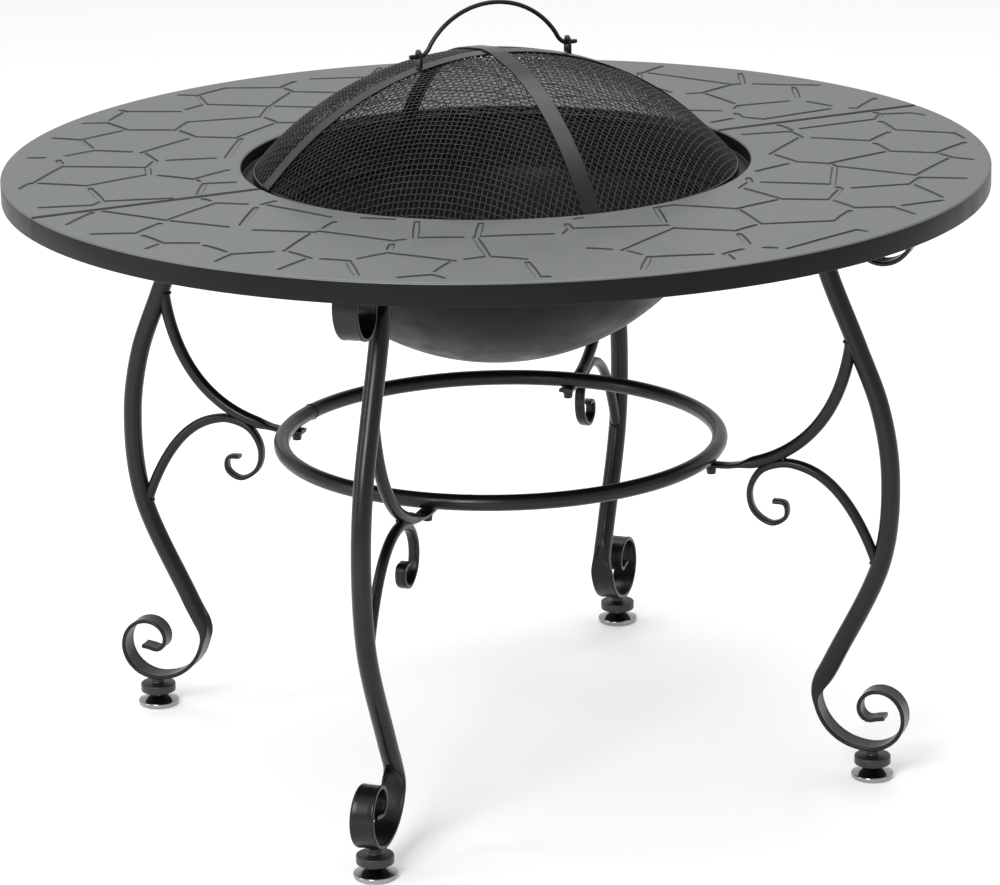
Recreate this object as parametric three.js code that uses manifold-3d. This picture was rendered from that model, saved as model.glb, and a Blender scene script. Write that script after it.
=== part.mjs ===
// Round garden fire pit table with a lift-out fire bowl, a domed spark screen and four scrolled legs.
// Millimetres, +Z up. The origin is the middle of the floor under the table. The seam between the two
// halves of the tabletop lies along X, and the legs stand halfway between the seam and the Y axis.

import * as THREE from 'three';
import { mergeVertices } from 'three/addons/utils/BufferGeometryUtils.js';
import Module from 'manifold-3d';

const wasm = await Module();
wasm.setup();

// Fits
const touchGap = 0.3;
const boltClearance = 0.6;

// Tabletop, two pressed half rings
const tableRadius = 550;
const tableHeight = 690;
const skirtDepth = 25;
const sheet = 1.5;
const edgeRound = 3;
const skirtReturn = 9;
const holeRadius = 284;
const collarDepth = 16;
const ledgeWidth = 15;
const seamGap = 0.6;
const seamFlangeDepth = 20;
const collarSlotWidth = 6;
const collarSlotHeight = 7;
const rearSlotAngle = 168;
const frontSlotAngle = -36;

// Fire bowl
const bowlWall = 1.5;
const bowlFlangeClearance = 4;
const bowlSideClearance = 3;
const bowlWallDepth = 35;
const bowlStepWidth = 7.5;
const bowlStepDepth = 8.5;
const bowlDishDepth = 158;

// Fuel grate
const grateRadius = 150;
const grateRod = 6;
const grateBars = 7;
const grateClearance = 2;

// Spark screen
const screenRimHeight = 8;
const screenRimWall = 2.5;
const screenRimInset = 9;
const domeHeight = 126;
const domeWall = 1.6;
const bandWidth = 20;
const bandThickness = 1.5;
const bandEndClearance = 0.9;
const screenTurn = -4;

// Bail handle of the screen
const bailRod = 5;
const bailRise = 53;
const lugRadius = 89;
const lugThickness = 3;
const lugWidth = 15;
const lugAxisHeight = 13.5;
const bailElbow = 8;
const bailStub = 11;

// Legs, tubes with both ends pressed flat and rolled into scrolls
const legTube = 21.5;
const stripWidth = 28;
const stripThickness = 6;
const footRadius = 437;
const footScrollOuter = 42.5;
const footScrollEye = 8;
const topScrollOuter = 48;
const topScrollEye = 16;
const scrollBend = 60;
const scrollStub = 12;
const flattenLength = 50;
const flatPower = 3.2;

// Mounting plates and bolts under the tabletop
const mountPlateThickness = 4;
const mountPlateLength = 56;
const mountPlateWidth = 34;
const legBoltSize = 8;
const legBoltSeatDrop = 2;
const seamBoltSize = 6;
const seamBoltRadius = 430;
const seamBoltDrop = 12;

// Ring and the braces that carry it
const ringRadius = 249;
const ringTube = 18;
const ringHeight = 366;
const braceTube = 14;
const braceTop = 518;
const bladeThickness = 5;
const bladeWidth = 17;
const bladeOverrun = 9;
const bladeRun = 12;
const bladeTaper = 22;
const ringBoltSize = 6;
const ringBoltDepth = 11;
const ringWasher = 1.6;

// Scrolled ornaments between the legs and the braces
const ornamentRod = 12;
const ornamentTip = 5;
const ornamentFoot = 247;
const ornamentContact = 0.52;

// Levelling feet
const collarRadius = 20.5;
const collarHeight = 10;
const collarBottom = 17;
const collarNeckRadius = 7;
const glideRadius = 24;
const glideHeight = 12.5;
const stemSize = 8;
const stemTop = 29.5;

const blackSteel = { color: 0x1b1c1e, roughness: 0.5, metalness: 0.6 };
const paintedTop = { color: 0x737679, roughness: 0.45, metalness: 0.3 };
const blackBowl = { color: 0x17181a, roughness: 0.6, metalness: 0.4 };
const meshBlack = { color: 0x26282a, roughness: 0.5, metalness: 0.6 };
const collarBlack = { color: 0x161718, roughness: 0.6, metalness: 0.0 };
const chrome = { color: 0xc9c9c6, roughness: 0.15, metalness: 1.0 };
const zincSteel = { color: 0x8f9294, roughness: 0.35, metalness: 0.9 };

const legCorners = { front_left: -135, front_right: -45, rear_right: 45, rear_left: 135 };
const degrees = Math.PI / 180;
const largeTurn = 36;
const smallTurn = 12;
const assembly = new THREE.Group();

// Values that follow from the driving dimensions
const ledgeTop = tableHeight - collarDepth;
const underside = tableHeight - sheet;
const bowlFlangeBottom = ledgeTop + touchGap;
const bowlFlangeRadius = holeRadius - bowlFlangeClearance;
const bowlOuter = holeRadius - ledgeWidth - bowlSideClearance;
const screenRimOuter = bowlFlangeRadius - screenRimInset;
const screenRimBottom = bowlFlangeBottom + bowlWall + touchGap;
const domeBase = screenRimBottom + screenRimHeight + touchGap;
const domeRadius = screenRimOuter - screenRimWall / 2;
const domeSphere = (domeRadius ** 2 + domeHeight ** 2) / (2 * domeHeight);
const domeCentre = domeBase + domeHeight - domeSphere;
const stripTop = underside - 2 * touchGap - mountPlateThickness;
const footStripBottom = collarBottom + collarHeight + collarNeckRadius + touchGap;
const ringBottom = ringHeight - ringTube / 2;
const bladeCentre = ringBottom - touchGap - bladeThickness / 2;

// ---- solids, cutting and joining ----

function closedGeometry(geometry) {
  const bare = geometry.clone();
  bare.deleteAttribute('normal');
  bare.deleteAttribute('uv');
  return mergeVertices(bare, 1e-4);
}

function solid(geometry) {
  const merged = closedGeometry(geometry);
  const vertProperties = new Float32Array(merged.attributes.position.array);
  const triVerts = new Uint32Array(merged.index.array);
  return new wasm.Manifold(new wasm.Mesh({ numProp: 3, vertProperties, triVerts }));
}

function geometryOf(body) {
  const mesh = body.getMesh();
  const geometry = new THREE.BufferGeometry();
  geometry.setAttribute('position', new THREE.BufferAttribute(mesh.vertProperties, 3));
  geometry.setIndex(new THREE.BufferAttribute(mesh.triVerts, 1));
  return geometry;
}

function addPart(name, geometry, finish, parent = assembly) {
  const mesh = new THREE.Mesh(geometry, new THREE.MeshStandardMaterial(finish));
  mesh.name = name;
  parent.add(mesh);
  return mesh;
}

function turnedGroup(angle, parent = assembly) {
  const group = new THREE.Group();
  group.rotation.z = angle * degrees;
  parent.add(group);
  return group;
}

// A rod or a bore along Z, between two heights
function rod(radius, bottom, top, x = 0, y = 0, sides = 10) {
  const geometry = new THREE.CylinderGeometry(radius, radius, top - bottom, sides);
  geometry.rotateX(Math.PI / 2);
  geometry.translate(x, y, (top + bottom) / 2);
  return geometry;
}

// A hexagon along Z, measured across its flats
function hexagon(acrossFlats, bottom, top, x = 0, y = 0) {
  return rod(acrossFlats / Math.sqrt(3), bottom, top, x, y, 6);
}

function box(sizeX, sizeY, sizeZ, x, y, z) {
  const geometry = new THREE.BoxGeometry(sizeX, sizeY, sizeZ);
  geometry.translate(x, y, z);
  return geometry;
}

// A profile of [radius, height] pairs turned about Z. It runs anticlockwise, outside first.
function turned(profile, segments) {
  const points = profile.map(([radius, height]) => new THREE.Vector2(radius, height));
  const geometry = new THREE.LatheGeometry(points, segments);
  geometry.rotateX(Math.PI / 2);
  return geometry;
}

// Points on a circle of the r, z plane, from one angle to another
function arcPoints(centreR, centreZ, radius, from, to, steps) {
  const points = [];
  for (let step = 0; step <= steps; step += 1) {
    const angle = (from + (to - from) * step / steps) * degrees;
    points.push([centreR + radius * Math.cos(angle), centreZ + radius * Math.sin(angle)]);
  }
  return points;
}

// ---- swept pieces: a section carried along a centreline in the r, z plane ----

// Keeps the stations of a dense line that its bends need
function stationsAlong(controlPoints, maxTurn, maxStep) {
  const path = controlPoints.map(([r, z]) => new THREE.Vector3(r, 0, z));
  const curve = new THREE.CatmullRomCurve3(path, false, 'centripetal');
  const dense = 800;
  const length = curve.getLength();
  const stations = [];
  let turn = Infinity;
  let travelled = 0;
  let previous = curve.getTangentAt(0);
  for (let index = 0; index <= dense; index += 1) {
    const share = index / dense;
    const tangent = curve.getTangentAt(share);
    turn += previous.angleTo(tangent) / degrees;
    travelled += length / dense;
    previous = tangent;
    if (turn >= maxTurn || travelled >= maxStep || index === dense) {
      stations.push({ point: curve.getPointAt(share), tangent, along: share * length });
      turn = 0;
      travelled = 0;
    }
  }
  return { stations, length };
}

// sectionAt(along, length) gives the width across the plane, the thickness in it and how square it is
function swept(controlPoints, sectionAt, sides, maxTurn = 18, maxStep = 60) {
  const { stations, length } = stationsAlong(controlPoints, maxTurn, maxStep);
  const positions = [];
  const faces = [];
  for (const { point, tangent, along } of stations) {
    const { width, thickness, power } = sectionAt(along, length);
    for (let side = 0; side < sides; side += 1) {
      const angle = (side + 0.5) * 2 * Math.PI / sides;
      const across = Math.sign(Math.cos(angle)) * Math.abs(Math.cos(angle)) ** (2 / power) * thickness / 2;
      const sideways = Math.sign(Math.sin(angle)) * Math.abs(Math.sin(angle)) ** (2 / power) * width / 2;
      positions.push(point.x - tangent.z * across, sideways, point.z + tangent.x * across);
    }
  }
  const last = (stations.length - 1) * sides;
  for (let ring = 0; ring < stations.length - 1; ring += 1) {
    for (let side = 0; side < sides; side += 1) {
      const a = ring * sides + side;
      const d = ring * sides + (side + 1) % sides;
      faces.push(a, a + sides, d + sides, a, d + sides, d);
    }
  }
  for (let side = 1; side < sides - 1; side += 1) {
    faces.push(0, side, side + 1, last, last + side + 1, last + side);
  }
  const geometry = new THREE.BufferGeometry();
  geometry.setAttribute('position', new THREE.Float32BufferAttribute(positions, 3));
  geometry.setIndex(faces);
  return geometry;
}

function blend(from, to, share) {
  return from + (to - from) * THREE.MathUtils.smoothstep(share, 0, 1);
}

// ---- tabletop ----

function tableProfile() {
  const skirtBottom = tableHeight - skirtDepth;
  const inside = tableRadius - sheet;
  const ledgeInner = holeRadius - ledgeWidth;
  const collarInside = holeRadius + sheet;
  return [
    [ledgeInner, ledgeTop],
    [holeRadius, ledgeTop],
    ...arcPoints(holeRadius + edgeRound, tableHeight - edgeRound, edgeRound, 180, 90, 2),
    ...arcPoints(tableRadius - edgeRound, tableHeight - edgeRound, edgeRound, 90, 0, 3),
    [tableRadius, skirtBottom],
    [tableRadius - skirtReturn, skirtBottom],
    [tableRadius - skirtReturn, skirtBottom + sheet],
    [inside, skirtBottom + sheet],
    [inside, tableHeight - edgeRound],
    [tableRadius - edgeRound, underside],
    [holeRadius + edgeRound, underside],
    [collarInside, tableHeight - edgeRound],
    [collarInside, ledgeTop - sheet],
    [ledgeInner, ledgeTop - sheet],
    [ledgeInner, ledgeTop],
  ].reverse();
}

function collarSlot(angle) {
  const middle = ledgeTop + collarSlotHeight / 2 + sheet;
  const geometry = box(4 * sheet, collarSlotWidth, collarSlotHeight, holeRadius + sheet / 2, 0, middle);
  geometry.rotateZ(angle * degrees);
  return solid(geometry);
}

function tableHalf(side, slotAngle) {
  const reach = 2 * tableRadius;
  const keep = box(reach, reach, reach, 0, side * (reach / 2 + seamGap / 2), tableHeight);
  const flangeInner = holeRadius + sheet / 2;
  const flangeLength = tableRadius - sheet / 2 - flangeInner;
  const flangeY = side * (seamGap / 2 + sheet / 2);
  let half = solid(turned(tableProfile(), 56)).intersect(solid(keep));
  for (const end of [-1, 1]) {
    const middle = end * (flangeInner + flangeLength / 2);
    const depth = seamFlangeDepth - sheet / 2;
    const flange = box(flangeLength, sheet, depth, middle, flangeY, tableHeight - sheet / 2 - depth / 2);
    half = half.add(solid(flange));
  }
  for (const end of [-1, 1]) {
    const bore = rod((seamBoltSize + boltClearance) / 2, -20, 20, 0, 0);
    bore.rotateX(Math.PI / 2);
    bore.translate(end * seamBoltRadius, 0, tableHeight - seamBoltDrop);
    half = half.subtract(solid(bore));
  }
  return geometryOf(half.subtract(collarSlot(slotAngle)));
}

addPart('table_half_front', tableHalf(-1, frontSlotAngle), paintedTop);
addPart('table_half_rear', tableHalf(1, rearSlotAngle), paintedTop);

// The two folded seam flanges are bolted face to face, with the nut on the rear half
const seamStack = seamGap / 2 + sheet + touchGap;

function seamBolt() {
  const head = solid(hexagon(1.6 * seamBoltSize, -seamStack - 0.65 * seamBoltSize, -seamStack));
  const shank = rod(seamBoltSize / 2, -seamStack - 1, seamStack + 1.6 * seamBoltSize);
  return geometryOf(head.add(solid(shank)));
}

function hexNut(size, bottom) {
  const nut = solid(hexagon(1.6 * size, bottom, bottom + 0.85 * size));
  const bore = rod(size / 2 + touchGap, bottom - 1, bottom + size);
  return geometryOf(nut.subtract(solid(bore)));
}

for (const [name, end] of [['left', -1], ['right', 1]]) {
  const place = new THREE.Group();
  place.position.set(end * seamBoltRadius, 0, tableHeight - seamBoltDrop);
  place.rotation.x = -Math.PI / 2;
  assembly.add(place);
  addPart(`seam_bolt_${name}`, seamBolt(), zincSteel, place);
  addPart(`seam_nut_${name}`, hexNut(seamBoltSize, seamStack), zincSteel, place);
}

// ---- fire bowl and fuel grate ----

const stepRadius = bowlOuter - bowlStepWidth;
const dishRadius = stepRadius - bowlStepWidth;
const wallBottom = bowlFlangeBottom - bowlWallDepth;
const dishTop = wallBottom - 2 * bowlStepDepth;
const dishSphere = (dishRadius ** 2 + bowlDishDepth ** 2) / (2 * bowlDishDepth);
const dishCentre = dishTop - bowlDishDepth + dishSphere;
const dishSteps = 6;

function bowlProfile() {
  const halfDish = Math.asin(dishRadius / dishSphere) / degrees;
  const outside = arcPoints(0, dishCentre, dishSphere, -90, -90 + halfDish, dishSteps);
  const inside = arcPoints(0, dishCentre, dishSphere - bowlWall, -90 + halfDish, -90, dishSteps);
  outside[0][0] = 0;
  inside[inside.length - 1][0] = 0;
  return [
    ...outside,
    [dishRadius, wallBottom - bowlStepDepth],
    [stepRadius, wallBottom - bowlStepDepth],
    [stepRadius, wallBottom],
    [bowlOuter, wallBottom],
    [bowlOuter, bowlFlangeBottom],
    [bowlFlangeRadius, bowlFlangeBottom],
    [bowlFlangeRadius, bowlFlangeBottom + bowlWall],
    [bowlOuter - bowlWall, bowlFlangeBottom + bowlWall],
    [bowlOuter - bowlWall, wallBottom + bowlWall],
    [stepRadius - bowlWall, wallBottom + bowlWall],
    [stepRadius - bowlWall, wallBottom - bowlStepDepth + bowlWall],
    [dishRadius - bowlWall, wallBottom - bowlStepDepth + bowlWall],
    ...inside,
  ];
}

addPart('fire_bowl', turned(bowlProfile(), largeTurn), blackBowl);

// The grate is a rod ring that rests in the dish, with straight bars welded across it
function fuelGrate() {
  const seat = dishSphere - bowlWall - grateRod / 2 - grateClearance;
  const height = dishCentre - Math.sqrt(seat ** 2 - grateRadius ** 2);
  const ring = new THREE.TorusGeometry(grateRadius, grateRod / 2, 6, 24);
  ring.translate(0, 0, height);
  let grate = solid(ring);
  for (let bar = 0; bar < grateBars; bar += 1) {
    const across = grateRadius * (2 * (bar + 1) / (grateBars + 1) - 1);
    const half = Math.sqrt(grateRadius ** 2 - across ** 2);
    const geometry = rod(grateRod / 2, -half, half, 0, 0, 6);
    geometry.rotateX(Math.PI / 2);
    geometry.translate(across, 0, height);
    grate = grate.add(solid(geometry));
  }
  return geometryOf(grate);
}

addPart('fuel_grate', fuelGrate(), blackSteel);

// ---- spark screen ----

const screen = turnedGroup(screenTurn);
const domeEdge = Math.asin(domeRadius / domeSphere) / degrees;
const domeInnerEdge = Math.acos((domeBase - domeCentre) / (domeSphere - domeWall)) / degrees;

function domeShell() {
  const steps = 7;
  const outside = arcPoints(0, domeCentre, domeSphere, 90 - domeEdge, 90, steps);
  const inside = arcPoints(0, domeCentre, domeSphere - domeWall, 90, 90 - domeInnerEdge, steps);
  outside[steps][0] = 0;
  inside[0][0] = 0;
  return turned([...outside, ...inside, outside[0]], largeTurn);
}

function screenRim() {
  const inner = screenRimOuter - screenRimWall;
  const top = screenRimBottom + screenRimHeight;
  return turned([
    [inner, screenRimBottom],
    [screenRimOuter, screenRimBottom],
    [screenRimOuter, top],
    [inner, top],
    [inner, screenRimBottom],
  ], largeTurn);
}

// A flat band over the dome, lifted by its own thickness in the middle where it crosses the other one,
// with both ends turned down outside the rim
function screenBand(lift) {
  const line = domeSphere + touchGap + bandThickness / 2;
  const drop = screenRimBottom + screenRimHeight / 2;
  const end = screenRimOuter + bandEndClearance + bandThickness / 2;
  const steps = 36;
  const points = [[-end, drop], [-end, domeBase - 1]];
  for (let step = 1; step < steps; step += 1) {
    const angle = (90 + domeEdge - 2 * domeEdge * step / steps) * degrees;
    const middle = Math.abs(Math.cos(angle)) * line;
    const raised = lift * blend(1, 0, (middle - bandWidth * 0.75) / bandWidth);
    points.push([(line + raised) * Math.cos(angle), domeCentre + (line + raised) * Math.sin(angle)]);
  }
  points.push([end, domeBase - 1], [end, drop]);
  return swept(points, () => ({ width: bandWidth, thickness: bandThickness, power: 1e3 }), 4, 4, 25);
}

addPart('screen_mesh', domeShell(), meshBlack, screen);
addPart('screen_rim', screenRim(), blackSteel, screen);
addPart('screen_band_under', screenBand(0), blackSteel, screen);
const overBand = turnedGroup(90, screen);
addPart('screen_band_over', screenBand(bandThickness + touchGap), blackSteel, overBand);

// ---- bail handle and its two lugs, above the lower band ----

const bandTopSphere = domeSphere + touchGap + bandThickness;
const lugSeat = domeCentre + Math.sqrt(bandTopSphere ** 2 - lugRadius ** 2);
const bailAxis = lugSeat + lugAxisHeight;

function lug(side) {
  const shape = new THREE.Shape();
  const half = lugWidth / 2;
  const foot = lugThickness / 2 * lugRadius / bandTopSphere + touchGap + 0.2;
  shape.moveTo(-half, -lugAxisHeight + foot);
  shape.lineTo(half, -lugAxisHeight + foot);
  shape.lineTo(half, 0);
  shape.absarc(0, 0, half, 0, Math.PI, false);
  const eye = new THREE.Path();
  eye.absarc(0, 0, bailRod / 2 + boltClearance, 0, 2 * Math.PI, true);
  shape.holes.push(eye);
  const geometry = new THREE.ExtrudeGeometry(shape, {
    depth: lugThickness, bevelEnabled: false, curveSegments: 8,
  });
  geometry.translate(0, 0, -lugThickness / 2);
  geometry.rotateX(Math.PI / 2);
  geometry.rotateZ(Math.PI / 2);
  geometry.translate(side * lugRadius, 0, bailAxis);
  return geometry;
}

function bail() {
  const elbow = lugRadius - bailElbow;
  const arcRadius = (elbow ** 2 + bailRise ** 2) / (2 * bailRise);
  const centre = bailAxis + bailRise - arcRadius;
  const spread = Math.asin(elbow / arcRadius) / degrees;
  const bow = arcPoints(0, centre, arcRadius, 90 + spread - 4, 90 - spread + 4, 12);
  const points = [
    [-lugRadius - bailStub, bailAxis],
    [-lugRadius, bailAxis],
    [-elbow - 3, bailAxis + 0.5],
    ...bow,
    [elbow + 3, bailAxis + 0.5],
    [lugRadius, bailAxis],
    [lugRadius + bailStub, bailAxis],
  ];
  return swept(points, () => ({ width: bailRod, thickness: bailRod, power: 2 }), 8, 12, 25);
}

addPart('bail_lug_left', lug(-1), blackSteel, screen);
addPart('bail_lug_right', lug(1), blackSteel, screen);
addPart('bail_handle', bail(), blackSteel, screen);

// ---- legs ----

const footScrollZ = footStripBottom + stripThickness / 2 + footScrollOuter;
const topScrollZ = stripTop - stripThickness / 2 - topScrollOuter;
const footBendZ = footStripBottom + stripThickness / 2 + scrollBend;
const topBendZ = stripTop - stripThickness / 2 - scrollBend;

// [share of the height between the two bends, distance outward from the foot circle]
const legBow = [[0.075, -46], [0.307, 9], [0.492, 18], [0.64, 6], [0.776, -21], [0.93, -54]];

// A scroll from its eye to its outermost turn. Sense is 1 at the foot and -1 under the tabletop.
function scrollPoints(centreZ, outer, eye, sense) {
  const points = [[footRadius + 3 + scrollStub, centreZ - sense * (eye - 2)]];
  const steps = 15;
  for (let step = 0; step <= steps; step += 1) {
    const angle = (270 - 360 * step / steps) * degrees;
    const reach = eye + (outer - eye) * step / steps;
    points.push([footRadius + 3 + reach * Math.cos(angle), centreZ + sense * reach * Math.sin(angle)]);
  }
  return points;
}

function legCentreline() {
  const bendR = footRadius - 4;
  const lower = arcPoints(bendR, footBendZ, scrollBend, 262, 180, 5);
  const upper = arcPoints(bendR, topBendZ, scrollBend, 180, 98, 5);
  const bow = legBow.map(([share, out]) => [
    footRadius + out,
    footBendZ + share * (topBendZ - footBendZ),
  ]);
  const foot = scrollPoints(footScrollZ, footScrollOuter, footScrollEye, 1);
  const top = scrollPoints(topScrollZ, topScrollOuter, topScrollEye, -1).reverse();
  return [...foot, ...lower, ...bow, ...upper, ...top];
}

const legLine = legCentreline();
const legSides = 10;
const legTurn = 20;

function lengthOf(points) {
  const path = points.map(([r, z]) => new THREE.Vector3(r, 0, z));
  return new THREE.CatmullRomCurve3(path, false, 'centripetal').getLength();
}

const footStripLength = lengthOf(legLine.slice(0, 22));
const topStripLength = lengthOf(legLine.slice(-22));

// The tube is round between the bends and pressed into a flat strip beyond them
function legSection(grow) {
  return (along, length) => {
    const fromFoot = (along - footStripLength) / flattenLength;
    const fromTop = (length - along - topStripLength) / flattenLength;
    const round = Math.min(fromFoot, fromTop);
    return {
      width: blend(stripWidth, legTube, round) + 2 * grow,
      thickness: blend(stripThickness, legTube, round) + 2 * grow,
      power: blend(flatPower, 2, round),
    };
  };
}

const legBoltBore = rod((legBoltSize + boltClearance) / 2, stripTop - 20, underside + 1, footRadius);
const legSolid = solid(swept(legLine, legSection(0), legSides, legTurn)).subtract(solid(legBoltBore));
const legEnvelope = solid(swept(legLine, legSection(touchGap), legSides, legTurn));

// Distance of the leg's centreline from the axis at a height between the bends
function legReach(height) {
  const between = legLine.slice(21, -21);
  const path = between.map(([r, z]) => new THREE.Vector3(r, 0, z));
  const curve = new THREE.CatmullRomCurve3(path, false, 'centripetal');
  let best = curve.getPoint(0);
  for (const point of curve.getSpacedPoints(400)) {
    if (Math.abs(point.z - height) < Math.abs(best.z - height)) best = point;
  }
  return best.x;
}

// ---- braces ----

const braceStart = new THREE.Vector2(legReach(braceTop), braceTop);
const braceEnd = new THREE.Vector2(ringRadius - bladeOverrun, bladeCentre);

function braceLine() {
  const seat = new THREE.Vector2(ringRadius + ringTube, bladeCentre);
  const span = new THREE.Vector2().subVectors(braceStart, seat);
  const curve = new THREE.CubicBezierCurve(
    braceStart,
    new THREE.Vector2(braceStart.x - 0.08 * span.x, braceStart.y - 0.74 * span.y),
    new THREE.Vector2(seat.x + 0.42 * span.x, seat.y + 0.04 * span.y),
    seat,
  );
  const points = curve.getPoints(14).map((point) => [point.x, point.y]);
  points.push([ringRadius, bladeCentre], [braceEnd.x, braceEnd.y]);
  return points;
}

const bracePath = braceLine();

function braceSection(grow) {
  return (along, length) => {
    const round = (length - along - ringTube - bladeOverrun - bladeRun) / bladeTaper;
    return {
      width: blend(bladeWidth, braceTube, round) + 2 * grow,
      thickness: blend(bladeThickness, braceTube, round) + 2 * grow,
      power: blend(flatPower, 2, round),
    };
  };
}

const ringBoltBore = rod(
  (ringBoltSize + boltClearance) / 2, ringBottom - 20, ringBottom + ringBoltDepth + 1, ringRadius,
);
const braceSolid = solid(swept(bracePath, braceSection(0), 8, 12, 30))
  .subtract(legEnvelope)
  .subtract(solid(ringBoltBore));
const braceEnvelope = solid(swept(bracePath, braceSection(touchGap), 8, 12, 30));

// ---- ornaments ----

function bracePoint(reach) {
  const path = bracePath.map(([r, z]) => new THREE.Vector2(r, z));
  const points = new THREE.SplineCurve(path).getPoints(300);
  return points.reduce((best, point) => (
    Math.abs(point.x - reach) < Math.abs(best.x - reach) ? point : best
  ));
}

// From the leg up to the underside of the brace, then round into a small scroll. It meets the brace a
// fixed share of the way from the ring to the leg.
// scrollShape holds [outward, upward] distances from the highest point of the ornament.
function ornamentLine() {
  const start = new THREE.Vector2(legReach(ornamentFoot), ornamentFoot);
  const contact = bracePoint(blend(ringRadius, braceStart.x, ornamentContact));
  const drop = braceTube / 2 + ornamentRod / 2;
  const peak = new THREE.Vector2(contact.x, contact.y - drop);
  const corner = new THREE.Vector2(start.x - 0.38 * (start.x - peak.x), peak.y + 2);
  const rise = new THREE.QuadraticBezierCurve(start, corner, peak).getPoints(7);
  const scrollShape = [[-26, -10], [-39, -34], [-34, -58], [-13, -71], [3, -62], [2, -47], [-12, -45]];
  return [
    ...rise.map((point) => [point.x, point.y]),
    ...scrollShape.map(([out, up]) => [peak.x + out, peak.y + up]),
  ];
}

function ornamentSection(along, length) {
  const share = along / length;
  return {
    width: ornamentRod,
    thickness: blend(ornamentRod, ornamentTip, (share - 0.35) / 0.5),
    power: blend(2, flatPower, (share - 0.35) / 0.5),
  };
}

const ornamentSolid = solid(swept(ornamentLine(), ornamentSection, 8, 18, 40))
  .subtract(legEnvelope)
  .subtract(braceEnvelope);

// ---- feet, plates and bolts of one leg ----

function footCollar() {
  const top = collarBottom + collarHeight;
  const bore = stemSize / 2 + touchGap;
  return turned([
    [bore, collarBottom],
    [collarRadius - 1.5, collarBottom],
    [collarRadius, collarBottom + 1.5],
    [collarRadius, top - 1.5],
    [collarRadius - 1.5, top],
    [collarNeckRadius, top],
    [collarNeckRadius, footStripBottom - touchGap],
    [bore, footStripBottom - touchGap],
    [bore, collarBottom],
  ], smallTurn);
}

function glide() {
  return turned([
    [0, 0],
    [glideRadius * 0.72, 0],
    [glideRadius * 0.95, 2.5],
    [glideRadius, 4.5],
    [glideRadius * 0.95, 6],
    [glideRadius * 0.42, glideHeight - 0.5],
    [stemSize / 2, glideHeight],
    [stemSize / 2, stemTop],
    [0, stemTop],
  ], smallTurn);
}

function mountPlate() {
  const middle = underside - touchGap - mountPlateThickness / 2;
  const plate = box(mountPlateLength, mountPlateWidth, mountPlateThickness, footRadius, 0, middle);
  return geometryOf(solid(plate).subtract(solid(legBoltBore)));
}

function legBolt() {
  const seat = stripTop - stripThickness - legBoltSeatDrop;
  const head = solid(hexagon(1.625 * legBoltSize, seat - 0.66 * legBoltSize, seat, footRadius));
  const shank = rod(legBoltSize / 2, seat - 1, underside - 2 * touchGap, footRadius);
  return geometryOf(head.add(solid(shank)));
}

function ringBolt() {
  const seat = bladeCentre - bladeThickness / 2 - 2 * touchGap - ringWasher;
  const head = solid(hexagon(1.7 * ringBoltSize, seat - ringBoltSize, seat, ringRadius));
  const shank = rod(ringBoltSize / 2, seat - 1, ringBottom + ringBoltDepth, ringRadius);
  return geometryOf(head.add(solid(shank)));
}

function washer() {
  const top = bladeCentre - bladeThickness / 2 - touchGap;
  const disc = solid(rod(ringBoltSize * 1.1, top - ringWasher, top, ringRadius));
  return geometryOf(disc.subtract(solid(ringBoltBore)));
}

for (const [corner, angle] of Object.entries(legCorners)) {
  const place = turnedGroup(angle);
  addPart(`leg_${corner}`, geometryOf(legSolid), blackSteel, place);
  addPart(`brace_${corner}`, geometryOf(braceSolid), blackSteel, place);
  addPart(`ornament_${corner}`, geometryOf(ornamentSolid), blackSteel, place);
  addPart(`mount_plate_${corner}`, mountPlate(), blackSteel, place);
  addPart(`leg_bolt_${corner}`, legBolt(), zincSteel, place);
  addPart(`ring_bolt_${corner}`, ringBolt(), blackSteel, place);
  addPart(`ring_washer_${corner}`, washer(), blackSteel, place);
  const foot = new THREE.Group();
  foot.position.x = footRadius;
  place.add(foot);
  addPart(`foot_collar_${corner}`, footCollar(), collarBlack, foot);
  addPart(`foot_glide_${corner}`, glide(), chrome, foot);
}

// ---- ring ----

function ring() {
  const torus = new THREE.TorusGeometry(ringRadius, ringTube / 2, 8, largeTurn);
  torus.translate(0, 0, ringHeight);
  let body = solid(torus);
  for (const angle of Object.values(legCorners)) {
    const bore = ringBoltBore.clone();
    bore.rotateZ(angle * degrees);
    body = body.subtract(solid(bore));
  }
  return geometryOf(body);
}

addPart('lower_ring', ring(), blackSteel);

export default assembly;
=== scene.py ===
# Round fire pit table: a pressed steel top in two halves, a fire bowl with a grate, a domed spark
# screen with its bail, and four scrolled legs tied together by a ring.

import math
import random

import bmesh
import bpy
from mathutils import Matrix, Vector
from mathutils.geometry import delaunay_2d_cdt


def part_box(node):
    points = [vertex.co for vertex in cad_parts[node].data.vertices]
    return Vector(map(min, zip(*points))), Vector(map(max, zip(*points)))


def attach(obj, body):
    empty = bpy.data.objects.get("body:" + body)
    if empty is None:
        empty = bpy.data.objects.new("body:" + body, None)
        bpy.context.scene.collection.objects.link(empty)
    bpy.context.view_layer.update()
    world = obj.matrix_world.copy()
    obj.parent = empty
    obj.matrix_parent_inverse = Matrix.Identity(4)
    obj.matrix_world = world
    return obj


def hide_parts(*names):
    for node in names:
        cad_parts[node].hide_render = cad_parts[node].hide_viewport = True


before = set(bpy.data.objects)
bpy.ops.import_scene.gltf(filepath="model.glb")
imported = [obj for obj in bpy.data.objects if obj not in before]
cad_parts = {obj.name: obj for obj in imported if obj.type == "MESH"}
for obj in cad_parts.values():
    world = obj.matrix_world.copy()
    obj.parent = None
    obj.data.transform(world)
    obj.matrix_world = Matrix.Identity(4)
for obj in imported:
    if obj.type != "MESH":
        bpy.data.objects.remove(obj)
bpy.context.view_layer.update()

MM = 0.001
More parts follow.
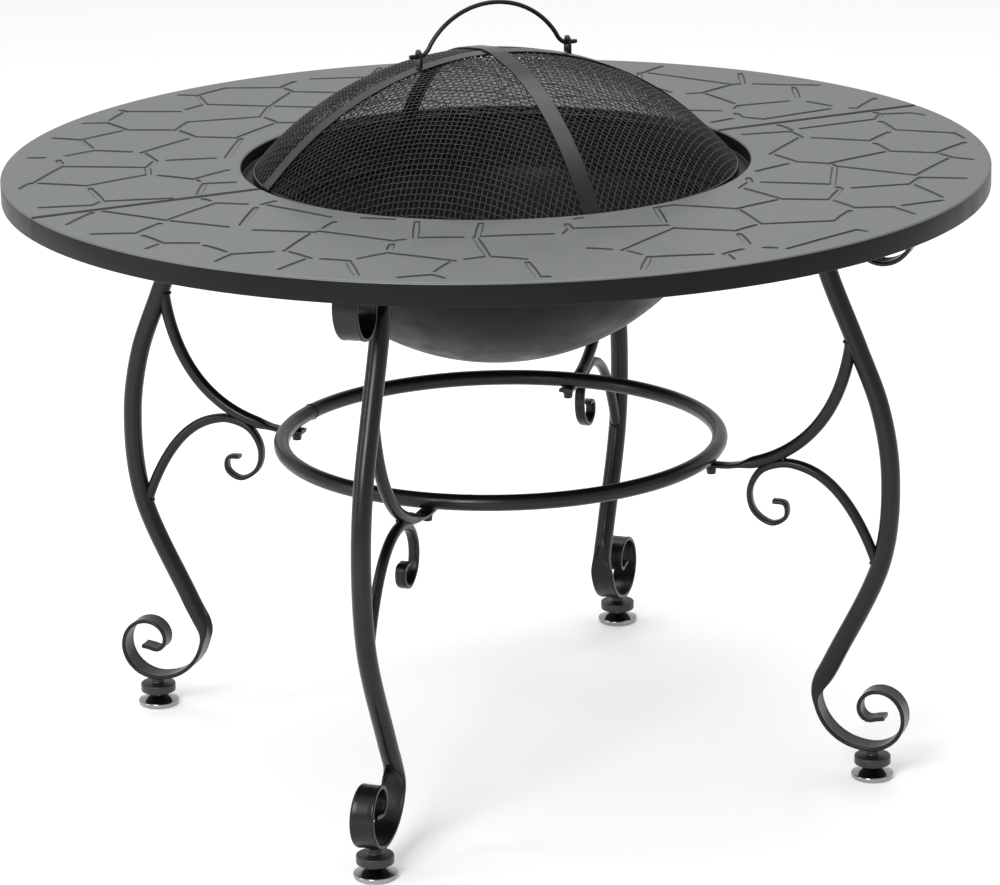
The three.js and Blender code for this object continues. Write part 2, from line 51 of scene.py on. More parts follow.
LEGS = {"front_left": -135, "front_right": -45, "rear_right": 45, "rear_left": 135}

# Sizes the pieces share, in millimetres
TABLE_RADIUS = 550
TABLE_HEIGHT = 690
SHEET = 1.5
HOLE_RADIUS = 284
LEDGE_TOP = 674
LEDGE_INNER = 269
UNDERSIDE = TABLE_HEIGHT - SHEET
SEAM_GAP = 0.6
SCREEN_TURN = -4
DOME_SPHERE = 351.75
DOME_CENTRE = 458.65
DOME_RADIUS = 269.75
DOME_BASE = 684.4
RIM_OUTER = 271
RIM_BOTTOM = 676.1
LUG_RADIUS = 89
BAIL_AXIS = 814.32
FOOT_RADIUS = 437
STRIP_WIDTH = 28
STRIP_THICKNESS = 6
LEG_TUBE = 21.5
RING_RADIUS = 249
RING_HEIGHT = 366


# ---- making, placing and copying pieces ----

def deselect():
    bpy.ops.object.select_all(action="DESELECT")


def named(name):
    piece = bpy.context.object
    piece.name = name
    piece.data.name = name
    return piece


def moved(piece, matrix):
    """The piece's own mesh is moved, so that its object stays at the origin."""
    piece.data.transform(matrix)
    return piece


def turned_about_z(degrees):
    return Matrix.Rotation(math.radians(degrees), 4, "Z")


def shifted(x, y, z):
    """A move by distances in millimetres."""
    return Matrix.Translation((x * MM, y * MM, z * MM))


def twin(piece, name, matrix):
    """A copy with its own mesh, in another place."""
    copy = piece.copy()
    copy.data = piece.data.copy()
    copy.name = name
    copy.data.name = name
    bpy.context.scene.collection.objects.link(copy)
    return moved(copy, matrix)


def discard(piece):
    mesh = piece.data
    bpy.data.objects.remove(piece)
    bpy.data.meshes.remove(mesh)


def joined(pieces, name):
    deselect()
    for piece in pieces:
        piece.select_set(True)
    bpy.context.view_layer.objects.active = pieces[0]
    bpy.ops.object.join()
    return named(name)


def apply_modifier(piece, kind, **settings):
    deselect()
    piece.select_set(True)
    bpy.context.view_layer.objects.active = piece
    modifier = piece.modifiers.new(kind.lower(), kind)
    for key, value in settings.items():
        setattr(modifier, key, value)
    bpy.ops.object.modifier_apply(modifier=modifier.name)
    return piece


def carved(piece, tool, operation="DIFFERENCE"):
    apply_modifier(piece, "BOOLEAN", object=tool, operation=operation, solver="MANIFOLD")
    discard(tool)
    return piece


def rounded_edges(piece, width, segments=2, limit=35):
    return apply_modifier(
        piece, "BEVEL", width=width * MM, segments=segments, limit_method="ANGLE",
        angle_limit=math.radians(limit), harden_normals=False,
    )


def smooth(piece, angle=30):
    deselect()
    piece.select_set(True)
    bpy.context.view_layer.objects.active = piece
    bpy.ops.object.shade_smooth_by_angle(angle=math.radians(angle))
    return piece


def block(name, size, centre, bevel=0.3):
    """A rectangular piece with its edges taken off. Size and centre are in millimetres."""
    deselect()
    bpy.ops.mesh.primitive_cube_add(size=1)
    piece = named(name)
    moved(piece, shifted(*centre) @ Matrix.Diagonal((*[edge * MM for edge in size], 1)))
    if bevel:
        rounded_edges(piece, bevel)
    return piece


def rod(name, radius, bottom, top, sides=24, bevel=0.0):
    """A round or many-sided bar along Z, in millimetres."""
    deselect()
    bpy.ops.mesh.primitive_cylinder_add(
        vertices=sides, radius=radius * MM, depth=(top - bottom) * MM,
        location=(0, 0, (top + bottom) / 2 * MM),
    )
    piece = named(name)
    bpy.ops.object.transform_apply(location=True)
    if bevel:
        rounded_edges(piece, bevel)
    return piece


def spun(name, profile, steps):
    """A closed profile of [radius, height] pairs in millimetres, spun about the upright axis."""
    deselect()
    bpy.ops.mesh.primitive_circle_add(vertices=len(profile), radius=0.1, fill_type="NOTHING")
    piece = named(name)
    bpy.ops.object.mode_set(mode="EDIT")
    outline = bmesh.from_edit_mesh(piece.data)
    for corner, (radius, height) in zip(outline.verts, profile):
        corner.co = (radius * MM, 0, height * MM)
    bmesh.update_edit_mesh(piece.data)
    bpy.ops.mesh.select_all(action="SELECT")
    bpy.ops.mesh.spin(steps=steps, angle=math.tau, center=(0, 0, 0), axis=(0, 0, 1))
    bpy.ops.mesh.select_all(action="SELECT")
    bpy.ops.mesh.remove_doubles(threshold=2e-6)
    bpy.ops.mesh.normals_make_consistent(inside=False)
    bpy.ops.object.mode_set(mode="OBJECT")
    return piece


def drawn(name, sections):
    """A bar drawn through its sections, each a ring of points in metres, with flat ends."""
    deselect()
    bpy.ops.mesh.primitive_circle_add(vertices=len(sections[0]), radius=0.01, fill_type="NGON")
    piece = named(name)
    bpy.ops.object.mode_set(mode="EDIT")
    for index, section in enumerate(sections):
        if index:
            bpy.ops.mesh.extrude_region_move()
        bar = bmesh.from_edit_mesh(piece.data)
        end = [face for face in bar.faces if face.select][-1]
        for loop, corner in zip(end.loops, section):
            loop.vert.co = corner
        bmesh.update_edit_mesh(piece.data, loop_triangles=False)
    bpy.ops.mesh.select_all(action="SELECT")
    bpy.ops.mesh.normals_make_consistent(inside=False)
    bpy.ops.object.mode_set(mode="OBJECT")
    return piece


def arc(centre_r, centre_z, radius, start, end, steps):
    """Points on a circle, from one angle to another."""
    angles = [math.radians(start + (end - start) * step / steps) for step in range(steps + 1)]
    return [(centre_r + radius * math.cos(a), centre_z + radius * math.sin(a)) for a in angles]


def smoothstep(share):
    share = min(1.0, max(0.0, share))
    return share * share * (3 - 2 * share)


def mixed(first, second, share):
    return first + (second - first) * share


CURVE_STEPS = 16


def eased_line(points, spacing):
    """Evenly spaced stations on a centripetal curve through the points: place, direction, distance."""
    way = [Vector(point) for point in points]
    way = [2 * way[0] - way[1]] + way + [2 * way[-1] - way[-2]]
    dense = [way[1]]
    for p0, p1, p2, p3 in zip(way, way[1:], way[2:], way[3:]):
        t1 = math.sqrt((p1 - p0).length)
        t2 = t1 + math.sqrt((p2 - p1).length)
        t3 = t2 + math.sqrt((p3 - p2).length)
        for step in range(1, CURVE_STEPS + 1):
            t = mixed(t1, t2, step / CURVE_STEPS)
            a1 = p0.lerp(p1, t / t1)
            a2 = p1.lerp(p2, (t - t1) / (t2 - t1))
            a3 = p2.lerp(p3, (t - t2) / (t3 - t2))
            b1 = a1.lerp(a2, t / t2)
            b2 = a2.lerp(a3, (t - t1) / (t3 - t1))
            dense.append(b1.lerp(b2, (t - t1) / (t2 - t1)))
    reached = [0.0]
    for before, after in zip(dense, dense[1:]):
        reached.append(reached[-1] + (after - before).length)
    length = reached[-1]
    count = max(2, round(length / spacing))
    stations = []
    index = 0
    for step in range(count + 1):
        along = length * step / count
        while index < len(dense) - 2 and reached[index + 1] < along:
            index += 1
        span = reached[index + 1] - reached[index]
        place = dense[index].lerp(dense[index + 1], (along - reached[index]) / span)
        stations.append((place, along))
    line = []
    for step, (place, along) in enumerate(stations):
        before = stations[max(0, step - 1)][0]
        after = stations[min(count, step + 1)][0]
        line.append((place, (after - before).normalized(), along))
    return line, length


def on_station(place, direction, corners):
    """Corners given as [towards the inside of the bend, sideways] at one station of an r, z line."""
    return [
        (
            (place.x - direction.y * inward) * MM,
            sideways * MM,
            (place.y + direction.x * inward) * MM,
        )
        for inward, sideways in corners
    ]


def ring_of(width, thickness, power, count):
    """A section between a circle (power 2) and a rectangle (a high power)."""
    corners = []
    for side in range(count):
        angle = (side + 0.5) * math.tau / count
        c, s = math.cos(angle), math.sin(angle)
        corners.append((
            math.copysign(abs(c) ** (2 / power), c) * thickness / 2,
            math.copysign(abs(s) ** (2 / power), s) * width / 2,
        ))
    return corners


def weld_bead(name, centre, axis, radius, thickness, seed, steps=40):
    """A ring of weld metal with an uneven, rippled surface. Centre and sizes are in millimetres."""
    deselect()
    bpy.ops.mesh.primitive_torus_add(
        major_radius=radius * MM, minor_radius=thickness * MM,
        major_segments=steps, minor_segments=8,
    )
    piece = named(name)
    ripple = random.Random(seed)
    phase = ripple.uniform(0, math.tau)
    for corner in piece.data.vertices:
        angle = math.atan2(corner.co.y, corner.co.x)
        swell = 1 + 0.035 * math.sin(13 * angle + phase) + ripple.uniform(-0.012, 0.012)
        corner.co.x *= swell
        corner.co.y *= swell
    turn = Vector((0, 0, 1)).rotation_difference(Vector(axis).normalized()).to_matrix().to_4x4()
    return smooth(moved(piece, shifted(*centre) @ turn), 60)


# ---- finishes ----

def linear(colour):
    """An sRGB hex colour as the linear values that the shader reads."""
    shares = [int(colour[at:at + 2], 16) / 255 for at in (1, 3, 5)]
    return [s / 12.92 if s <= 0.04045 else ((s + 0.055) / 1.055) ** 2.4 for s in shares] + [1]


def add_node(tree, kind, settings, links=None):
    node = tree.nodes.new(kind)
    for key, value in settings.items():
        if isinstance(key, int) or key in node.inputs:
            node.inputs[key].default_value = value
        else:
            setattr(node, key, value)
    for key, socket in (links or {}).items():
        tree.links.new(socket, node.inputs[key])
    return node


def new_finish(name):
    finish = bpy.data.materials.new(name)
    finish.use_nodes = True
    finish.node_tree.nodes.clear()
    return finish, finish.node_tree


def surface_noise(tree, size, detail=2.0, roughness=0.5, distortion=0.0):
    """Noise whose lumps are about size millimetres across, fixed to the object."""
    place = add_node(tree, "ShaderNodeTexCoord", {})
    return add_node(
        tree, "ShaderNodeTexNoise",
        {"Scale": 1 / (size * MM), "Detail": detail, "Roughness": roughness, "Distortion": distortion},
        {"Vector": place.outputs["Object"]},
    )


def coated_steel(name, light, dark, roughness, spread, grain, height, mottle, settings):
    """Paint over steel: a colour that drifts a little, and the fine orange peel of a sprayed coat.

    grain and mottle are the sizes in millimetres of the peel and of the drift in colour and gloss.
    """
    finish, tree = new_finish(name)
    drift = surface_noise(tree, mottle, 4, 0.6)
    peel = surface_noise(tree, grain, 2, 0.55)
    colour = add_node(
        tree, "ShaderNodeMix", {"data_type": "RGBA", 6: linear(dark), 7: linear(light)},
        {0: drift.outputs["Fac"]},
    )
    gloss = add_node(
        tree, "ShaderNodeMapRange",
        {"From Min": 0.3, "From Max": 0.7, "To Min": roughness - spread, "To Max": roughness + spread},
        {"Value": drift.outputs["Fac"]},
    )
    bump = add_node(
        tree, "ShaderNodeBump", {"Strength": 0.6, "Distance": height * MM},
        {"Height": peel.outputs["Fac"]},
    )
    shader = add_node(
        tree, "ShaderNodeBsdfPrincipled", settings,
        {
            "Base Color": colour.outputs[2],
            "Roughness": gloss.outputs["Result"],
            "Normal": bump.outputs["Normal"],
        },
    )
    add_node(tree, "ShaderNodeOutputMaterial", {}, {"Surface": shader.outputs["BSDF"]})
    return finish


# Grey stove enamel on the pressed top: a satin mid grey that is partly the enamel's own tone and partly
# painted sheen of the sky, which it picks up at a low angle. Its peel is about a millimetre across, drawn
# at 1.6 mm so that it shows.
grey_enamel_with_painted_sheen = coated_steel(
    "grey_satin_enamel_with_painted_sheen", "#606263", "#55585a", 0.40, 0.04, 1.6, 0.05, 60,
    {"Metallic": 0.25, "IOR": 1.5},
)

# Painted shade in the grooves: the same enamel, darkened on their sloping walls where shade falls.
painted_groove_shade = coated_steel(
    "painted_shade_in_grooves", "#232526", "#191b1c", 0.45, 0.05, 1.2, 0.05, 18,
    {"Metallic": 0.1, "IOR": 1.5, "Specular IOR Level": 0.30},
)

# Black powder coat, baked: a satin black with soft highlights on tubes and a fine peel.
powder_coat = coated_steel(
    "black_powder_coat_on_steel", "#0f1010", "#0a0a0b", 0.29, 0.05, 1.2, 0.05, 25,
    {"Metallic": 0.0, "IOR": 1.5, "Specular IOR Level": 0.30},
)

# Black stove paint round the skirt and the hole of the top, duller than the tubes' coat. On the sloping
# walls of the seam it is painted shade.
rim_black_and_seam_shade = coated_steel(
    "satin_black_paint_and_seam_shade", "#131414", "#0c0d0d", 0.38, 0.05, 1.4, 0.06, 40,
    {"Metallic": 0.0, "IOR": 1.5, "Specular IOR Level": 0.13},
)

# Heat-proof paint on the bowl, dulled by soot: brown-black, patchy and nearly matt.
soot_black = coated_steel(
    "sooted_heat_paint_on_steel", "#141312", "#0a0909", 0.44, 0.10, 2.0, 0.12, 38,
    {"Metallic": 0.1, "IOR": 1.5, "Specular IOR Level": 0.14},
)

# Drawn wire of the screen under a thin black coat, worn brighter than the flat bands.
wire_black = coated_steel(
    "thin_black_coat_on_drawn_wire", "#5b5a57", "#333231", 0.28, 0.06, 3.0, 0.02, 40,
    {"Metallic": 0.8},
)

# Bare bars of the grate, browned by the fire.
burnt_bar = coated_steel(
    "fire_browned_mild_steel", "#3a302a", "#1e1a18", 0.62, 0.1, 1.5, 0.15, 12,
    {"Metallic": 0.5},
)

# Moulded black nylon of the foot collars: smooth with a fine spark-eroded grain.
moulded_nylon = coated_steel(
    "moulded_black_nylon", "#18191a", "#131415", 0.42, 0.04, 0.8, 0.03, 15,
    {"Metallic": 0.0, "IOR": 1.53},
)

# Bright chrome plate on the turned glides: nearly a mirror, with faint polishing haze.
chrome_plate = coated_steel(
    "bright_chrome_plate", "#a9a9a7", "#8f8f8e", 0.14, 0.04, 4.0, 0.01, 8,
    {"Metallic": 1.0},
)

# Clear-passivated zinc on the bolts and nuts: a cool grey metal with a dull, uneven shine.
zinc_plate = coated_steel(
    "clear_passivated_zinc_plate", "#b4b7ba", "#8e9194", 0.34, 0.08, 1.0, 0.02, 5,
    {"Metallic": 1.0},
)


def finished(piece, finish, body, slot, *nodes):
    """Paints a piece, says which body carries it, and hides the nodes of the frame that it stands for."""
    if finish:
        piece.data.materials.clear()
        piece.data.materials.append(finish)
    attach(piece, body)
    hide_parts(*nodes)
    return piece


def around_the_legs(piece, name, finish, slot, node, body="frame"):
    """Copies a piece modelled in the plane of the first leg to all four, then drops the model."""
    for corner, angle in LEGS.items():
        copy = twin(piece, f"{name}_{corner}", turned_about_z(angle))
        finished(copy, finish, body.format(corner), slot, f"{node}_{corner}")
    discard(piece)


# ---- tabletop ----

EDGE_ROUND = 3
FLAT_INSET = 0.8
HEM_ROUND = 1.2
SKIRT_DEPTH = 25
SKIRT_RETURN = 9
FLANGE_DEPTH = 19.5
COLLAR_SLOT = (6, 6, 7)
COLLAR_SLOT_RISE = 5
TOP_STEPS = 160
GROOVE_WIDTH = 9.0
GROOVE_FLOOR = 4.6
GROOVE_DEPTH = 1.35
SEAM_HALF_WIDTH = 5
SEAM_DEPTH = 2.2
STONE_SIZE = 96
STONE_ROW = 0.80
STONE_COLUMN = 1.12
STONE_PACKING = 0.866
ROW_SCATTER = 0.30
COLUMN_SCATTER = 0.34
ALL_STOP_CHANCE = 0.1
NONE_STOP_CHANCE = 0.4
LEFT_OUT_CHANCE = 0.05
JOINT_GAP = 10
SHORTEST_JOINT = 12
SHORTEST_GROOVE = 16
RIM_MARGIN = 18
HOLE_MARGIN = 12
SEAM_MARGIN = 7
LEAST_UPWARD = 0.3
LEVEL_NORMAL = 0.97
GROOVE_SEED = 11


def top_profile():
    """Outside first: the ledge, the round of the hole, the flat, the round of the rim, the skirt."""
    bottom = TABLE_HEIGHT - SKIRT_DEPTH
    flat_end = EDGE_ROUND + FLAT_INSET
    return [
        (LEDGE_INNER, LEDGE_TOP),
        (HOLE_RADIUS - HEM_ROUND, LEDGE_TOP),
        (HOLE_RADIUS, LEDGE_TOP + HEM_ROUND),
        *arc(HOLE_RADIUS + EDGE_ROUND, TABLE_HEIGHT - EDGE_ROUND, EDGE_ROUND, 180, 90, 8),
        (HOLE_RADIUS + flat_end, TABLE_HEIGHT),
        (TABLE_RADIUS - flat_end, TABLE_HEIGHT),
        *arc(TABLE_RADIUS - EDGE_ROUND, TABLE_HEIGHT - EDGE_ROUND, EDGE_ROUND, 90, 0, 8),
        *arc(TABLE_RADIUS - HEM_ROUND, bottom + HEM_ROUND, HEM_ROUND, 0, -90, 4),
        (TABLE_RADIUS - SKIRT_RETURN, bottom),
        (TABLE_RADIUS - SKIRT_RETURN, bottom + SHEET),
        (TABLE_RADIUS - SHEET, bottom + SHEET),
        (TABLE_RADIUS - SHEET, TABLE_HEIGHT - EDGE_ROUND),
        (TABLE_RADIUS - EDGE_ROUND, UNDERSIDE),
        (HOLE_RADIUS + EDGE_ROUND, UNDERSIDE),
        (HOLE_RADIUS + SHEET, TABLE_HEIGHT - EDGE_ROUND),
        (HOLE_RADIUS + SHEET, LEDGE_TOP - SHEET),
        (LEDGE_INNER, LEDGE_TOP - SHEET),
    ]


def joint_lines():
    """Crazy paving's joints, between stones set out round scattered centres: corners, and lines."""
    scatter = random.Random(GROOVE_SEED)
    reach = TABLE_RADIUS + 2 * STONE_SIZE
    rows = int(reach / (STONE_SIZE * STONE_PACKING)) + 1
    centres = []
    for row in range(-rows, rows + 1):
        for column in range(-rows, rows + 1):
            x = (column + 0.5 * (row % 2)) * STONE_SIZE * STONE_COLUMN
            x += scatter.uniform(-COLUMN_SCATTER, COLUMN_SCATTER) * STONE_SIZE
            y = row * STONE_SIZE * STONE_ROW + scatter.uniform(-ROW_SCATTER, ROW_SCATTER) * STONE_SIZE
            centres.append(Vector((x, y)))
    points, _, triangles, *_ = delaunay_2d_cdt(centres, [], [], 0, 1e-6)
    corners = {}
    meeting = {}
    for number, triangle in enumerate(triangles):
        a, b, c = (points[index] for index in triangle)
        d = 2 * (a.x * (b.y - c.y) + b.x * (c.y - a.y) + c.x * (a.y - b.y))
        if abs(d) < 1e-6:
            continue
        corners[number] = Vector((
            (a.length_squared * (b.y - c.y) + b.length_squared * (c.y - a.y)
             + c.length_squared * (a.y - b.y)) / d,
            (a.length_squared * (c.x - b.x) + b.length_squared * (a.x - c.x)
             + c.length_squared * (b.x - a.x)) / d,
        ))
        for first, second in zip(triangle, [*triangle[1:], triangle[0]]):
            meeting.setdefault(frozenset((first, second)), []).append(number)
    lines = [ends for ends in meeting.values() if len(ends) == 2]
    return corners, sorted(lines, key=lambda ends: tuple(round(x, 3) for x in corners[ends[0]]))


def pressed_lines():
    """Joint lines clear of the rim, hole and seam. At most corners one stops short and the rest run on."""
    scatter = random.Random(GROOVE_SEED + 1)
    corners, lines = joint_lines()
    meeting = {}
    for index, ends in enumerate(lines):
        for end in ends:
            meeting.setdefault(end, []).append(index)
    stopping = set()
    for corner, at_corner in meeting.items():
        chance = scatter.random()
        if chance < ALL_STOP_CHANCE:
            chosen = at_corner
        elif chance < NONE_STOP_CHANCE:
            chosen = []
        else:
            chosen = [scatter.choice(at_corner)]
        stopping.update((index, corner) for index in chosen)
    kept = []
    for index, (first, last) in enumerate(lines):
        start, end = corners[first], corners[last]
        length = (end - start).length
        if length < SHORTEST_JOINT or scatter.random() < LEFT_OUT_CHANCE:
            continue
        way = (end - start) / length
        # A groove that runs on reaches half its width past the corner, so that its round end fills it
        start = start + way * (JOINT_GAP if (index, first) in stopping else -GROOVE_WIDTH / 2)
        end = end - way * (JOINT_GAP if (index, last) in stopping else -GROOVE_WIDTH / 2)
        count = max(2, int((end - start).length / 2))
        clear = []
        for step in range(count + 1):
            place = start.lerp(end, step / count)
            on_flat = HOLE_RADIUS + HOLE_MARGIN < place.length < TABLE_RADIUS - RIM_MARGIN
            if on_flat and abs(place.y) > SEAM_MARGIN:
                clear.append(place)
            elif clear:
                break
        if len(clear) > 1 and (clear[-1] - clear[0]).length > SHORTEST_GROOVE:
            kept.append((clear[0], clear[-1]))
    return kept


def layers_of(lines):
    """The lines in layers, so that no two of a layer touch and each layer can be one punch."""
    layers = []
    for line in lines:
        def apart(other):
            return all((a - b).length > 3 * GROOVE_WIDTH for a in line for b in other)
        layer = next((layer for layer in layers if all(map(apart, layer))), None)
        if layer is None:
            layers.append(layer := [])
        layer.append(line)
    return layers


def groove_tool(lines):
    """A punch for the grooves: one tapered bar with round ends for each line."""
    deselect()
    bpy.ops.mesh.primitive_circle_add(vertices=10, radius=GROOVE_WIDTH / 2 * MM, fill_type="NGON")
    bar = named("groove_bar")
    bpy.ops.object.mode_set(mode="EDIT")
    bpy.ops.mesh.extrude_region_move(TRANSFORM_OT_translate={"value": (0, 0, -GROOVE_DEPTH * MM)})
    taper = GROOVE_FLOOR / GROOVE_WIDTH
    bpy.ops.transform.resize(value=(taper, taper, 1))
    bpy.ops.object.mode_set(mode="OBJECT")
    tools = []
    for start, end in lines:
        angle = math.atan2(end.y - start.y, end.x - start.x)
        half = (end - start).length / 2 - GROOVE_WIDTH / 2
        middle = (start + end) / 2
        tool = twin(bar, "groove", Matrix.Identity(4))
        for corner in tool.data.vertices:
            corner.co.x += math.copysign(half * MM, corner.co.x) if abs(corner.co.x) > 1e-7 else 0
            if corner.co.z > -1e-6:
                corner.co.z += 0.2 * MM
        moved(tool, shifted(middle.x, middle.y, TABLE_HEIGHT) @ Matrix.Rotation(angle, 4, "Z"))
        tools.append(tool)
    discard(bar)
    punch = joined(tools, "groove_punch")
    bpy.ops.object.mode_set(mode="EDIT")
    bpy.ops.mesh.select_all(action="SELECT")
    bpy.ops.mesh.normals_make_consistent(inside=False)
    bpy.ops.object.mode_set(mode="OBJECT")
    return punch


def tabletop_half(name, side, slot_angle, lines):
    half = spun(name, top_profile(), TOP_STEPS)
    bpy.ops.object.mode_set(mode="EDIT")
    bpy.ops.mesh.select_all(action="SELECT")
    bpy.ops.mesh.bisect(
        plane_co=(0, side * SEAM_GAP / 2 * MM, 0), plane_no=(0, side, 0), use_fill=True,
        clear_inner=True,
    )
    bpy.ops.object.mode_set(mode="OBJECT")
    for end in (-1, 1):
        length = TABLE_RADIUS - HOLE_RADIUS - 2
        centre = (
            end * (HOLE_RADIUS + 1 + length / 2), side * (SEAM_GAP + SHEET) / 2,
            TABLE_HEIGHT - (SHEET + FLANGE_DEPTH) / 2,
        )
        flange = block("seam_flange", (length, SHEET, FLANGE_DEPTH), centre, 0)
        carved(half, flange, "UNION")
    slot = block("collar_slot", COLLAR_SLOT, (HOLE_RADIUS + 0.7, 0, LEDGE_TOP + COLLAR_SLOT_RISE), 0)
    carved(half, moved(slot, turned_about_z(slot_angle)))
    hollow = block("seam_hollow", (2.2 * TABLE_RADIUS, math.sqrt(2), math.sqrt(2)), (0, 0, 0), 0)
    moved(hollow, Matrix.Rotation(math.pi / 4, 4, "X"))
    flat_ridge = Matrix.Diagonal((1, SEAM_HALF_WIDTH, SEAM_DEPTH, 1))
    carved(half, moved(hollow, shifted(0, 0, TABLE_HEIGHT) @ flat_ridge))
    for layer in layers_of([line for line in lines if side * line[0].y > 0]):
        carved(half, groove_tool(layer))
    half.data.materials.clear()
    for finish in (grey_enamel_with_painted_sheen, rim_black_and_seam_shade, painted_groove_shade):
        half.data.materials.append(finish)
    # Faces that look up on the top get the grey, which is partly painted sheen. Faces that don't look up
    # get the black.
    for face in half.data.polygons:
        reach = face.center.xy.length / MM
        faces_up = face.normal.z > LEAST_UPWARD and face.center.z > (TABLE_HEIGHT - EDGE_ROUND) * MM
        sloping = face.center.z < (TABLE_HEIGHT - 0.02) * MM and face.normal.z < LEVEL_NORMAL
        on_flat = HOLE_RADIUS + EDGE_ROUND < reach < TABLE_RADIUS - EDGE_ROUND
        at_seam = abs(face.center.y) < SEAM_HALF_WIDTH * MM
        # The sloping walls of the seam get the black as painted shade in the crease.
        if not faces_up or (sloping and at_seam):
            face.material_index = 1
        else:
            # The sloping walls of the grooves get painted shade.
            face.material_index = 2 if sloping and on_flat else 0
    return smooth(half, 13)


grooves = pressed_lines()
for name, side, slot_angle in (("front", -1, -36), ("rear", 1, 168)):
    half = tabletop_half(f"pressed_top_{name}", side, slot_angle, grooves)
    finished(half, None, "frame", "textured_top", f"table_half_{name}")


# ---- fire bowl and grate ----

BOWL_OUTER = 266
BOWL_FLANGE = 280
FLANGE_Z = 674.3
WALL_BOTTOM = FLANGE_Z - 35
STEP_RADIUS = BOWL_OUTER - 7.5
DISH_RADIUS = STEP_RADIUS - 7.5
DISH_TOP = WALL_BOTTOM - 17
DISH_DEPTH = 158
DISH_SPHERE = (DISH_RADIUS ** 2 + DISH_DEPTH ** 2) / (2 * DISH_DEPTH)
DISH_CENTRE = DISH_TOP - DISH_DEPTH + DISH_SPHERE
BOWL_SHEET = 1.5


def bowl_profile():
    """Pressed from one sheet: a dish, two rounded steps, an upright wall and a rolled flange."""
    spread = math.degrees(math.asin(DISH_RADIUS / DISH_SPHERE))
    outside = arc(0, DISH_CENTRE, DISH_SPHERE, -90, -90 + spread, 30)
    inside = arc(0, DISH_CENTRE, DISH_SPHERE - BOWL_SHEET, -90 + spread, -90, 30)
    outside[0] = (0, outside[0][1])
    inside[-1] = (0, inside[-1][1])
    low, high = WALL_BOTTOM - 8.5, WALL_BOTTOM
    top = FLANGE_Z + BOWL_SHEET
    return [
        *outside,
        *arc(DISH_RADIUS + 1.5, low - 1.5, 1.5, 180, 90, 3),
        *arc(STEP_RADIUS - 2.5, low + 2.5, 2.5, -90, 0, 4),
        *arc(STEP_RADIUS + 1.5, high - 1.5, 1.5, 180, 90, 3),
        *arc(BOWL_OUTER - 2.5, high + 2.5, 2.5, -90, 0, 4),
        *arc(BOWL_OUTER + 1, FLANGE_Z - 1, 1, 180, 90, 3),
        *arc(BOWL_FLANGE - 0.75, FLANGE_Z + 0.75, 0.75, -90, 90, 6),
        *arc(BOWL_OUTER + 1.3, top - 2.8, 2.8, 90, 180, 4),
        *arc(BOWL_OUTER - 3.1, high + 3.1, 1.6, 0, -90, 3),
        *arc(STEP_RADIUS + 0.6, high - 0.9, 2.4, 90, 180, 4),
        *arc(STEP_RADIUS - 3.1, low + 3.1, 1.6, 0, -90, 3),
        *arc(DISH_RADIUS + 0.6, low - 0.9, 2.4, 90, 180, 4),
        *inside,
    ]


bowl = smooth(spun("pressed_fire_bowl", bowl_profile(), 144), 45)
finished(bowl, soot_black, "bowl", "bowl_black", "fire_bowl")

GRATE_ROD = 6
GRATE_RADIUS = 150
GRATE_BARS = 7
grate_low, grate_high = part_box("fuel_grate")
grate_height = (grate_low.z + grate_high.z) / 2 / MM


def grate():
    deselect()
    bpy.ops.mesh.primitive_torus_add(
        major_radius=GRATE_RADIUS * MM, minor_radius=GRATE_ROD / 2 * MM, major_segments=96,
        minor_segments=14,
    )
    pieces = [moved(named("grate_ring"), shifted(0, 0, grate_height))]
    for bar in range(GRATE_BARS):
        across = GRATE_RADIUS * (2 * (bar + 1) / (GRATE_BARS + 1) - 1)
        half = math.sqrt(GRATE_RADIUS ** 2 - across ** 2)
        lying = Matrix.Rotation(math.pi / 2, 4, "X")
        bar_piece = rod("grate_bar", GRATE_ROD / 2 - 0.1, -half, half, 14)
        pieces.append(moved(bar_piece, shifted(across, 0, grate_height) @ lying))
        for end in (-1, 1):
            bead = weld_bead("grate_weld", (across, end * (half - 2.8), grate_height), (0, 1, 0), 2.7, 1.1,
                             bar, 16)
            pieces.append(bead)
    return smooth(joined(pieces, "welded_fuel_grate"), 40)


finished(grate(), burnt_bar, "grate", "grate_black", "fuel_grate")


# ---- spark screen ----

WIRE_PITCH = 5.9
WIRE_RADIUS = 0.5
WEAVE_TURN = -38
DOME_TOP_GAP = 0.9
WIRE_END_GAP = 0.6


